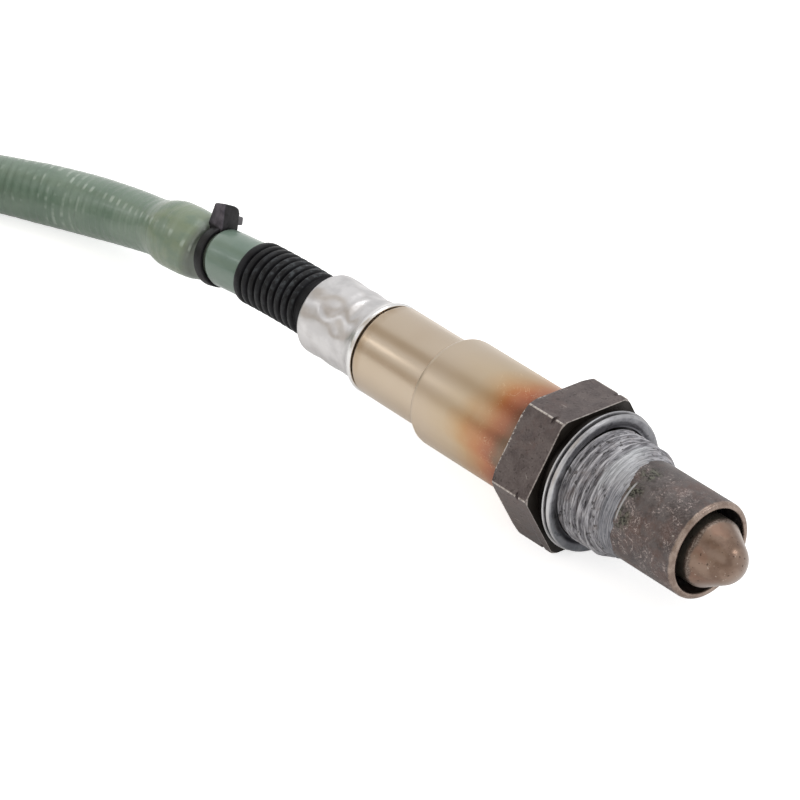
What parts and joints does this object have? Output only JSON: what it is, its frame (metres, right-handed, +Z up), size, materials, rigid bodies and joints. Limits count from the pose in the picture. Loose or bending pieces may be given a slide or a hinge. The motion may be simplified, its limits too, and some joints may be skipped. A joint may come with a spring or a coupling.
{
  "type": "oxygen sensor",
  "caption": "Planar oxygen sensor with a metric thread, folded gasket, hex, stepped steel sleeve, ribbed boot and a sleeved lead to a plug, for an exhaust boss.",
  "frame": {"origin": "on the thread axis, in the sealing plane at the front of the gasket", "axes": "+X along the sensor's axis towards the exhaust gas, +Z up, hex flat down on the surface"},
  "size_m": [0.2711, 0.0873, 0.0226],
  "materials": {
    "shell_steel": "dark heat-browned steel with bright worn edges",
    "gasket_steel": "dull silver-grey sheet steel",
    "outer_tube_steel": "mottled brown-grey scaled steel",
    "inner_tube_steel": "satin brown heat-tinted steel",
    "element_ceramic": "plain fired ceramic strip",
    "packing_ceramic": "white unglazed ceramic",
    "talc": "pressed grey-white powder",
    "inner_steel": "plain bright steel",
    "sleeve_steel": "satin stainless steel with golden heat tint",
    "contact_metal": "plated spring bronze",
    "grommet_rubber": "black heat-proof rubber",
    "collar_steel": "bright steel with crimp dents and a polished rim",
    "boot_rubber": "black ribbed rubber",
    "wire_insulation": "smooth wire insulation in five colours",
    "inner_sleeve_glass": "smooth bluish-green varnished sleeve",
    "harness_sleeve_glass": "olive-green varnished glass-fibre sleeve",
    "tie_nylon": "black nylon",
    "shrink_tube": "black shrink tube",
    "plug_plastic": "black moulded plastic",
    "seal_rubber": "orange silicone rubber",
    "lock_plastic": "violet moulded plastic",
    "resistor_body": "trimmed ceramic chip"
  },
  "bodies": {
    "root": {"hex_shell": "shell_steel", "sealing_gasket": "gasket_steel", "outer_protection_tube": "outer_tube_steel", "inner_protection_tube": "inner_tube_steel", "sensing_element": "element_ceramic", "lower_ceramic_bush": "packing_ceramic", "talc_seal": "talc", "upper_ceramic_bush": "packing_ceramic", "press_ring": "inner_steel", "protective_sleeve": "sleeve_steel", "contact_carrier": "packing_ceramic", "contact_springs": "contact_metal", "carrier_clamp_ring": "inner_steel", "cable_grommet": "grommet_rubber", "crimp_collar": "collar_steel", "ribbed_boot": "boot_rubber", "lead_wires": "wire_insulation", "inner_sleeve": "inner_sleeve_glass", "cable_tie": "tie_nylon", "harness_sleeve": "harness_sleeve_glass", "harness_hank": "harness_sleeve_glass", "hank_tie": "tie_nylon", "sleeve_end_shrink": "shrink_tube", "plug_wires": "wire_insulation", "plug_housing": "plug_plastic", "plug_wire_seal": "seal_rubber", "plug_rear_cover": "plug_plastic", "plug_terminals": "contact_metal", "terminal_lock": "lock_plastic", "plug_face_seal": "seal_rubber", "trim_resistor": "resistor_body"}
  },
  "joints": []
}
